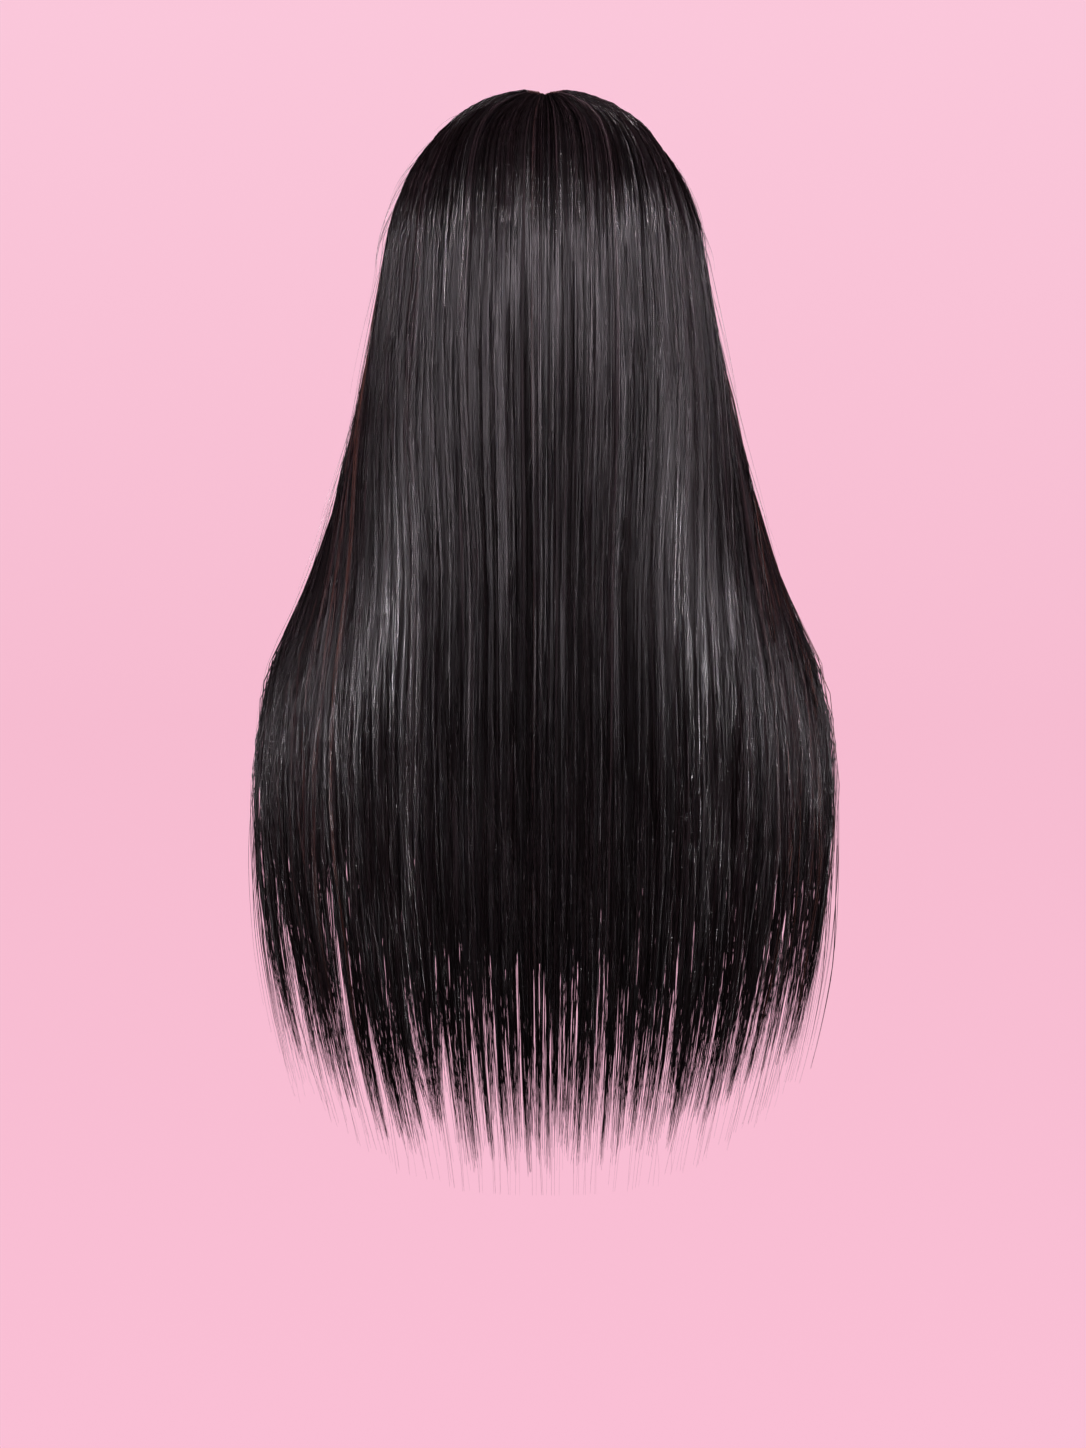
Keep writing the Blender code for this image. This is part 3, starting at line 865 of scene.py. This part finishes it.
Group = namedtuple("Group", "name node first last locks strands seed")
GROUPS = (
    Group("back_hair_right", "back_hair", -BACK_SHARE, 0.0, 10, 1190, 11),
    Group("back_hair_left", "back_hair", 0.0, BACK_SHARE, 10, 1190, 12),
    Group("side_hair_right", "side_hair_right", -SIDE_SHARE, -BACK_SHARE, 9, 1150, 13),
    Group("side_hair_left", "side_hair_left", BACK_SHARE, SIDE_SHARE, 9, 1150, 14),
    Group("front_hair_right", "front_hair_right", -1.0, -SIDE_SHARE, 6, 700, 15),
    Group("front_hair_left", "front_hair_left", SIDE_SHARE, 1.0, 6, 700, 16),
)
UNDER_GROUPS = (
    Group("under_hair_right", "under_hair_right", -UNDER_SHARE, 0.0, 9, 600, 21),
    Group("under_hair_left", "under_hair_left", 0.0, UNDER_SHARE, 9, 600, 22),
)
RIBBONS_TO_A_LOCK = 6

# A layer of hair: the rows of its strands, how much shorter its locks end, which share of its strands
# strays, how far its locks gather at the tips, and where its cores lie and start
Layer = namedtuple("Layer", "slot rows trim loose gather core_outside core_inside core_start")
OUTER_LAYER = Layer("hair", 21, 0.0, 0.20, 0.47, 0.38, 0.88, 0.0)
UNDER_LAYER = Layer("under_hair", 16, 0.03, 0.25, 0.80, 0.70, 0.92, 0.5)

# How deep strands lie: a share of them far inside, the others near the outside, and the under hair
INNER_STRANDS = 0.20
INNER_DEPTH = (0.60, 0.95)
OUTER_DEPTH = 0.45
UNDER_DEPTH = (0.62, 1.0)
UNDER_START = (0.50, 0.75)


def pick_ribbons(rng, ribbons, count):
    """A ribbon for each strand, so that the strands lie equally close in all of them."""
    reach = np.cumsum(ribbons.half)
    return np.searchsorted(reach / reach[-1], rng.random(count))


def outer_roots(rng, lift):
    """The depth of each outer strand, and the station where it starts."""
    count = len(lift)
    inner = rng.random(count) < INNER_STRANDS
    depth = np.where(inner, rng.uniform(*INNER_DEPTH, count), rng.beta(1.0, 2.4, count) * OUTER_DEPTH)
    return depth, np.clip(depth - 0.10, 0.0, 0.5) * rng.uniform(0.1, 0.7, count)


def under_roots(rng, lift):
    """The same for strands of the under hair, which hang from the cap's back."""
    count = len(lift)
    return lerp(*UNDER_DEPTH, rng.beta(1.6, 1.0, count)) - lift, rng.uniform(*UNDER_START, count)


def build_group(group, layer, roots, strands_finish, cores_finish):
    rng = np.random.default_rng(group.seed)
    locks = make_locks(rng, group.first, group.last, group.locks, layer.trim)
    ribbons = make_ribbons(rng, locks, RIBBONS_TO_A_LOCK)
    ribbon = pick_ribbons(rng, ribbons, group.strands)
    depth, start = roots(rng, ribbons.lift[ribbon])
    lines, station, end = strand_paths(rng, layer, locks, ribbons, ribbon, depth, start)
    radius = strand_radius(rng, station, start, end)
    colours = strand_colours(rng, ribbons, ribbon, depth)
    strands = tube_mesh(group.name + "_strands", lines, radius, station, **colours)
    add_piece(group.name + "_strands", strands, strands_finish, layer.slot, group.node)
    core = core_mesh(group.name + "_core", locks, layer)
    add_piece(group.name + "_core", core, cores_finish, layer.slot, group.node)


# The lace's front edge: across is an angle from its middle towards the ear, and hairline an angle about
# the line through the ears, from the crown
LACE_WALL = 0.0010
NAPE_HEIGHT = 0.115
HAIRLINE_ACROSS = np.array([0.0, 20.0, 38.0, 53.0, 65.0, 74.0])
HAIRLINE = np.array([-62.0, -63.0, -69.0, -79.0, -91.0, -98.0])

# The hairs along it: where they are tied in, in degrees, and where they land, as shares and stations
HAIRLINE_SEED = 41
HAIRLINE_HAIRS = 640
HAIRLINE_ROWS = 8
HAIRLINE_REACH = (1.0, 73.0)
HAIRLINE_DEPTH = 9.0
HAIRLINE_START = 0.4
LANDING_SHARES = (0.86, 0.995)
LANDING_RUN = (0.16, 0.42)
LANDING_DEPTH = (0.0, 0.25)
LANDING_BEND = 0.10
HAIRLINE_RISE = (0.002, 0.006)
HAIRLINE_LEAVING = 0.30
HAIRLINE_TONE_FROM = 0.03
HAIRLINE_SIZES = (0.45, 0.8)


def on_lace(across, around):
    """Points of the lace's outer face."""
    a, b = np.radians(across), np.radians(around)
    upward = np.cos(a) * np.cos(b)
    height = np.where(upward > 0, CROWN_HEIGHT, NAPE_HEIGHT) + LACE_WALL
    return along_axes(
        (HEAD_WIDTH / 2 + LACE_WALL) * np.sin(a),
        (HEAD_DEPTH / 2 + LACE_WALL) * np.cos(a) * np.sin(b),
        height * upward - CROWN_HEIGHT,
    )


def build_hairline(finish):
    """Fine hairs tied along the lace's edge, which lie back and join the hair behind them."""
    rng = np.random.default_rng(HAIRLINE_SEED)
    count = HAIRLINE_HAIRS
    side = np.where(rng.random(count) < 0.5, -1.0, 1.0)
    across = rng.uniform(*HAIRLINE_REACH, count)
    behind = HAIRLINE_DEPTH * rng.random(count) ** 1.3 + HAIRLINE_START
    root = on_lace(side * across, np.interp(across, HAIRLINE_ACROSS, HAIRLINE) + behind)
    edge_station = np.linspace(0.0, 1.0, 60)
    edge = hair_points(0.97, edge_station, 0.3)
    beside = np.interp(np.abs(root[:, 0]), edge[:, 0], edge_station)
    share = side * rng.uniform(*LANDING_SHARES, count)
    landing = beside + rng.uniform(*LANDING_RUN, count)
    end = hair_points(share, landing, rng.uniform(*LANDING_DEPTH, count))
    arriving = hair_points(share, landing - LANDING_BEND, rng.uniform(*LANDING_DEPTH, count))
    rise = unit(root + np.array([0.0, 0.0, CROWN_HEIGHT])) * column(rng.uniform(*HAIRLINE_RISE, count))
    leaving = root + rise + (arriving - root) * HAIRLINE_LEAVING
    way = np.linspace(0.0, 1.0, HAIRLINE_ROWS)[None, :]
    t = way[..., None]
    lines = (
        root[:, None] * (1 - t) ** 3 + leaving[:, None] * 3 * t * (1 - t) ** 2
        + arriving[:, None] * 3 * t**2 * (1 - t) + end[:, None] * t**3
    )
    station = np.maximum(column(beside) + column(landing - beside) * way, HAIRLINE_TONE_FROM)
    thin = lerp(*HAIRLINE_SIZES, column(rng.random(count))) * STRAND_RADIUS
    radius = thin * lerp(0.45, 1.0, eased(way / 0.4))
    colours = {
        "tone": BLACK_TONES * rng.random(count) ** 2,
        "gloss": rng.uniform(0.2, 0.8, count),
        "tilt": rng.normal(0.0, HAIRLINE_TILT, count),
    }
    mesh = tube_mesh("hairline_hairs", lines, radius, station, **colours)
    add_piece("hairline_hairs", mesh, finish, "hair")


# Single hairs: where they lie and start, how long they are, how far they drift across, and how far they
# stand out from the hair's surface and are pushed outwards, in metres
Loose = namedtuple("Loose", "name count rows shares starts lengths drift out push size seed")
LOOSE = (
    Loose("flyaways", 110, 16, (0.60, 0.97), (0.15, 1.55), (0.14, 0.45), 0.030, 0.0045, 0.0010, 0.50, 31),
    Loose("edge_strands", 26, 14, (0.95, 1.00), (1.56, 1.64), (0.20, 0.30), 0.006, 0.0004, 0.0060, 0.80, 32),
    Loose("stray_hairs", 330, 12, (0.00, 0.93), (1.12, 1.84), (0.06, 0.20), 0.060, 0.0016, 0.0, 0.58, 33),
    Loose("hem_wisps", 620, 12, (0.00, 1.00), (1.48, 1.72), (0.14, 0.42), 0.030, -0.0030, 0.0, 0.62, 34),
)

# How much longer than the hem a single hair can be, how far it stays clear of the hair's surface, and
# how much it curls
LONGER = 0.01
CLEAR = 0.0004
LOOSE_CURL = 0.5


def build_loose_hair(kind, finish):
    rng = np.random.default_rng(kind.seed)
    count, rows = kind.count, kind.rows
    way = np.linspace(0.0, 1.0, rows)[None, :]
    side = np.where(rng.random(count) < 0.5, -1.0, 1.0)
    share = side * rng.uniform(*kind.shares, count)
    start = rng.uniform(*kind.starts, count)
    longest = hem_at(share) - start + LONGER
    length = np.minimum(rng.uniform(*kind.lengths, count), longest)
    station = column(start) + column(length) * way
    curl = rng.normal(0.0, LOOSE_CURL, count)
    drift = column(rng.normal(0.0, kind.drift, count)) * way
    bend = np.sin(math.pi * way * column(rng.uniform(1.0, 2.6, count)))
    drift = drift + column(curl * kind.drift * 0.35) * bend
    across = np.clip(column(share) + drift, -1.03, 1.03)
    across = np.where(column(side) * across < 0.0, column(side) * 0.001, across)
    stand_out = column(rng.uniform(0.2, 1.0, count)) * kind.out * np.sin(math.pi * way * 0.6)
    if kind.out > 0:
        stand_out = stand_out + CLEAR
    outward = column(rng.uniform(0.0, 1.0, count)) * kind.push * eased(way * 1.6)
    lines = hair_points(across, station, -stand_out / thickness(station))
    lines[..., 0] += np.sign(across) * outward
    radius = strand_radius(rng, station, start, start + length, kind.size)
    colours = {
        "tone": BLACK_TONES * rng.uniform(0.2, 1.0, count),
        "gloss": rng.uniform(0.1, 0.9, count),
        "tilt": rng.normal(0.0, LOOSE_TILT, count),
    }
    mesh = tube_mesh(kind.name, lines, radius, station, **colours)
    add_piece(kind.name, mesh, finish, "hair")


# The room: pale pink shades behind the hair, a pale floor, soft lights and the camera


def aim(thing, target):
    way = Vector(target) - thing.location
    thing.rotation_euler = way.to_track_quat("-Z", "Y").to_euler()


# The camera: the photograph's height in pixels, and the metres that one of them spans
PHOTO_HEIGHT = 1448
METRES_TO_A_PIXEL = 0.00060
CAMERA_DISTANCE = 2.60
CENTRE_X = 0.001
CENTRE_Z = -0.3721
LENS_FRAME = 36.0

# The shades behind the hair, from below to above, as places and colours
BACKDROP = (
    (0.0, (0.955, 0.520, 0.665, 1.0)),
    (0.5, (0.925, 0.500, 0.635, 1.0)),
    (1.0, (0.960, 0.570, 0.705, 1.0)),
)
BACKDROP_REACH = 0.16
ROOM_PINK = (0.95, 0.62, 0.72, 1.0)
ROOM_GLOW = 0.03
PALE_PINK = (0.93, 0.60, 0.70, 1.0)
FLOOR_LEVEL = -1.30
FLOOR_RADIUS = 2.2
FLOOR_CORNERS = 96
FLOOR_GLOW = 0.75

# Area lights: place, the point they are aimed at, size, power, colour and spread in degrees
ROSE = (1.0, 0.87, 0.96)
PALE_ROSE = (1.0, 0.92, 1.0)
FRONT_ROSE = (1.0, 0.92, 0.95)
Lamp = namedtuple("Lamp", "name place target size power colour spread")
LAMPS = (
    Lamp("key", (0.0, 3.1, 0.60), (0.0, 0.05, 0.05), (1.6, 0.7), 4.1, ROSE, 30),
    Lamp("high", (0.0, 3.1, 1.00), (0.0, 0.05, 0.05), (1.9, 0.5), 2.3, ROSE, 24),
    Lamp("left_crown", (1.7, 1.1, 1.20), (0.04, 0.05, -0.03), (0.35, 0.25), 0.28, ROSE, 9),
    Lamp("right_crown", (-1.7, 1.1, 1.20), (-0.04, 0.05, -0.03), (0.35, 0.25), 0.28, ROSE, 9),
    Lamp("left_side", (3.1, 0.9, 0.12), (0.09, 0.06, -0.41), (0.4, 0.25), 0.22, PALE_ROSE, 9),
    Lamp("right_side", (-3.1, 0.9, 0.12), (-0.09, 0.06, -0.41), (0.4, 0.25), 0.24, PALE_ROSE, 9),
    Lamp("front", (0.0, -3.0, -0.25), (0.0, 0.0, -0.3), (1.6, 1.0), 60, FRONT_ROSE, 180),
)


def build_floor():
    mesh = bpy.data.meshes.new("floor")
    turns = np.linspace(0.0, 2 * math.pi, FLOOR_CORNERS + 1)[:-1]
    rim = [(FLOOR_RADIUS * math.cos(turn), FLOOR_RADIUS * math.sin(turn), FLOOR_LEVEL) for turn in turns]
    mesh.from_pydata(rim, [], [list(range(len(rim)))])
    floor = bpy.data.objects.new("floor", mesh)
    bpy.context.collection.objects.link(floor)
    floor.visible_diffuse = False
    floor.visible_glossy = False
    glow = {"Emission Color": PALE_PINK, "Emission Strength": FLOOR_GLOW}
    finish = Finish("pale_floor", {"Base Color": PALE_PINK, "Roughness": 0.8, **glow})
    place = finish.place()
    away = finish.node("ShaderNodeVectorMath", {"operation": "LENGTH"}, {0: place}).outputs["Value"]
    shown = 1 - finish.smooth(away, FLOOR_RADIUS * 0.75, FLOOR_RADIUS * 1.1)
    mesh.materials.append(finish.surface({"Alpha": shown}))


def build_room():
    """A faint glow from all round, and the pale shades, which only the camera sees."""
    world = bpy.data.worlds.new("soft_room")
    bpy.context.scene.world = world
    room = Nodes(world)
    glow = room.nodes["Background"]
    room.feed(glow, {"Color": ROOM_PINK, "Strength": ROOM_GLOW})
    around = room.node("ShaderNodeTexCoord", {}, {}).outputs["Generated"]
    sockets = {"Value": room.part(around, "Z"), "From Min": -BACKDROP_REACH, "From Max": BACKDROP_REACH}
    height = room.node("ShaderNodeMapRange", {}, sockets).outputs["Result"]
    shades = room.node("ShaderNodeValToRGB", {"stops": BACKDROP}, {"Fac": height}).outputs["Color"]
    seen = room.node("ShaderNodeBackground", {}, {"Color": shades})
    by_camera = room.node("ShaderNodeLightPath", {}, {}).outputs["Is Camera Ray"]
    mix = room.node("ShaderNodeMixShader", {}, {0: by_camera, 1: glow.outputs[0], 2: seen.outputs[0]})
    room.feed(room.nodes["World Output"], {"Surface": mix.outputs[0]})


def place_camera():
    camera = bpy.data.cameras.new("camera")
    camera.sensor_fit = "VERTICAL"
    camera.sensor_height = LENS_FRAME
    camera.lens = LENS_FRAME * CAMERA_DISTANCE / (PHOTO_HEIGHT * METRES_TO_A_PIXEL)
    eye = bpy.data.objects.new("camera", camera)
    bpy.context.collection.objects.link(eye)
    eye.location = (CENTRE_X, CAMERA_DISTANCE, CENTRE_Z)
    aim(eye, (CENTRE_X, 0.0, CENTRE_Z))
    bpy.context.scene.camera = eye


def hang_lamp(lamp):
    data = bpy.data.lights.new(lamp.name, "AREA")
    data.shape = "RECTANGLE"
    data.spread = math.radians(lamp.spread)
    data.size, data.size_y = lamp.size
    data.energy = lamp.power
    data.color = lamp.colour
    thing = bpy.data.objects.new(lamp.name, data)
    bpy.context.collection.objects.link(thing)
    thing.location = lamp.place
    aim(thing, lamp.target)


# The net of the lace and the cloth of the cap
NET_CELL = 0.0011
KNOT_CELL = 0.0019
WEFT_PITCH = 0.0085
WALE_PITCH = 0.0011
COURSE_PITCH = 0.0012
NET_SHADES = ((0.20, 0.115, 0.075, 1.0), (0.30, 0.185, 0.125, 1.0))
# Painted shade: a darker brown for the lace beside the parting
PAINTED_PARTING_SHADE = (0.070, 0.030, 0.026, 1.0)
KNOT_BLACK = (0.006, 0.004, 0.004, 1.0)
CLOTH_SHADES = ((0.006, 0.005, 0.005, 1.0), (0.026, 0.021, 0.021, 1.0))
WEFT_SHADE = (0.010, 0.006, 0.006, 1.0)


def lace_finish():
    """Fine net: threads round small cells, with a dark knot wherever a hair is tied in, and painted shade of
    darker brown beside the parting.
    """
    finish = Finish("lace_net", {"Roughness": 0.85, "Specular IOR Level": 0.2})
    place = finish.place()
    thread = 1 - finish.smooth(finish.cells(place, 1 / NET_CELL, "DISTANCE_TO_EDGE", 0.45), 0.05, 0.16)
    knot = 1 - finish.smooth(finish.cells(place, 1 / KNOT_CELL, "F1", 0.7), 0.16, 0.30)
    beside_parting = 1 - finish.smooth(finish.math("ABSOLUTE", finish.part(place, "X")), 0.0015, 0.012)
    shade = finish.noise(place, 90.0)
    colour = finish.mixed(shade, *NET_SHADES)
    # Painted shade: the lace beside the parting is darkened so it doesn't show lit
    colour = finish.mixed(beside_parting * 0.75, colour, PAINTED_PARTING_SHADE)
    colour = finish.mixed(knot * 0.9, colour, KNOT_BLACK)
    solid = finish.math("MAXIMUM", thread * 0.9, knot)
    normal = finish.bump(solid, 0.6, 0.0003)
    finish.material.surface_render_method = "DITHERED"
    return finish.surface({"Base Color": colour, "Alpha": 0.22 + solid * 0.78, "Normal": normal})


def cap_finish():
    """Black knitted stretch cloth, crossed by the sewn rows of the wefts."""
    finish = Finish("knitted_cap", {"Specular IOR Level": 0.3})
    place = finish.place()
    row = finish.part(place, "Z") + finish.noise(place, 25.0) * 0.002
    weft = finish.smooth(finish.math("SINE", row * (2 * math.pi / WEFT_PITCH)), 0.35, 0.95)
    wale = finish.math("SINE", finish.part(place, "X") * (2 * math.pi / WALE_PITCH))
    course = finish.math("SINE", row * (2 * math.pi / COURSE_PITCH))
    knit = (wale * course + 1.0) * 0.5
    fuzz = finish.noise(place, 1400.0, 3.0)
    colour = finish.mixed(knit * 0.6 + fuzz * 0.3, *CLOTH_SHADES)
    colour = finish.mixed(weft * 0.8, colour, WEFT_SHADE)
    normal = finish.bump(knit * 0.25 + weft, 0.8, 0.0008)
    return finish.surface({"Base Color": colour, "Roughness": 0.92 - weft * 0.30, "Normal": normal})


# Flat sizes of the lace and the cap's cloth: width, length and area
LACE_CUT = (0.210, 0.170, 0.0262)
CAP_CUT = (0.235, 0.165, 0.0272)


def paint_cap():
    cloths = (("lace_front", lace_finish(), LACE_CUT), ("wig_cap", cap_finish(), CAP_CUT))
    for node, material, (width, length, area) in cloths:
        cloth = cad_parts[node]
        cloth.data.materials.clear()
        cloth.data.materials.append(material)


glossy = strand_finish("black_strands", 0.13, 0.38)
shaded = strand_finish("under_strands", 0.30, 0.50)
mass = core_finish("black_mass")
for group in GROUPS:
    build_group(group, OUTER_LAYER, outer_roots, glossy, mass)
for group in UNDER_GROUPS:
    build_group(group, UNDER_LAYER, under_roots, shaded, mass)
for kind in LOOSE:
    build_loose_hair(kind, glossy)
build_hairline(glossy)
paint_cap()
build_floor()
build_room()
place_camera()
for lamp in LAMPS:
    hang_lamp(lamp)

bpy.context.scene.view_settings.view_transform = "Standard"
